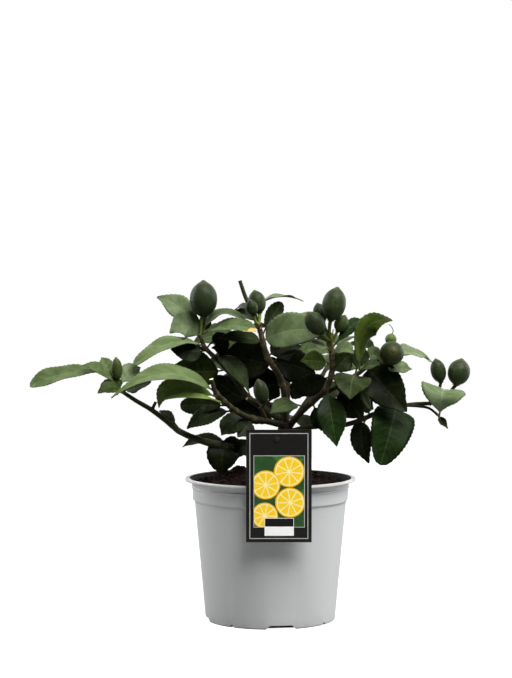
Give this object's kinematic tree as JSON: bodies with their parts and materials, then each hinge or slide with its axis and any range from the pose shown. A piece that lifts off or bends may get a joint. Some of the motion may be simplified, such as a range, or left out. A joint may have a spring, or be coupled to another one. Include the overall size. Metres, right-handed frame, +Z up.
{
  "type": "potted lemon tree",
  "caption": "Young lemon tree with toothed leaves and unripe green fruits in a round tapered grey nursery pot, with a black picture card clipped to the rim",
  "frame": {"origin": "centre of the pot's flat base, on the surface that the pot stands on", "axes": "+Z up along the pot's axis; +X to the right seen from the front, where the card hangs, and the plant's longest way; +Y to the back"},
  "size_m": [0.485, 0.2417, 0.3781],
  "materials": {
    "pot_plastic": "matte injection-moulded light grey plastic with a soft sheen",
    "soil": "dark brown potting soil with reddish bark bits, rough and dull",
    "card": null,
    "clip_plastic": "black bent plastic strip",
    "bark": "young grey-brown bark, finely streaked",
    "leaf": "dark green leathery leaf with a waxy sheen and a paler midrib",
    "fruit": "unripe dark green lemon rind with fine oil dimples, paler at the nipple"
  },
  "bodies": {
    "root": {"pot": "pot_plastic", "soil": "soil", "card": "card", "card_clip": "clip_plastic", "trunk": "bark", "shoot_low_left": "leaf", "shoot_mid_left": "leaf", "shoot_upper_left": "leaf", "shoot_centre": "leaf", "shoot_right_centre": "leaf", "shoot_right_upper": "leaf", "shoot_right_low": "leaf", "shoot_rear_left": "leaf", "shoot_rear_right": "leaf", "shoot_rear_centre": "leaf", "shoot_rear_low": "leaf", "fruit_low_left": "fruit", "fruit_upper_left": "fruit", "fruit_centre_small": "fruit", "fruit_centre_large": "fruit", "fruit_right_top": "fruit", "fruit_right_front": "fruit", "fruit_right_rear": "fruit", "fruit_right_side": "fruit", "fruit_front": "fruit", "fruit_young": "fruit", "fruit_end_on": "fruit", "fruit_far_right_small": "fruit", "fruit_far_right_large": "fruit"}
  },
  "joints": []
}
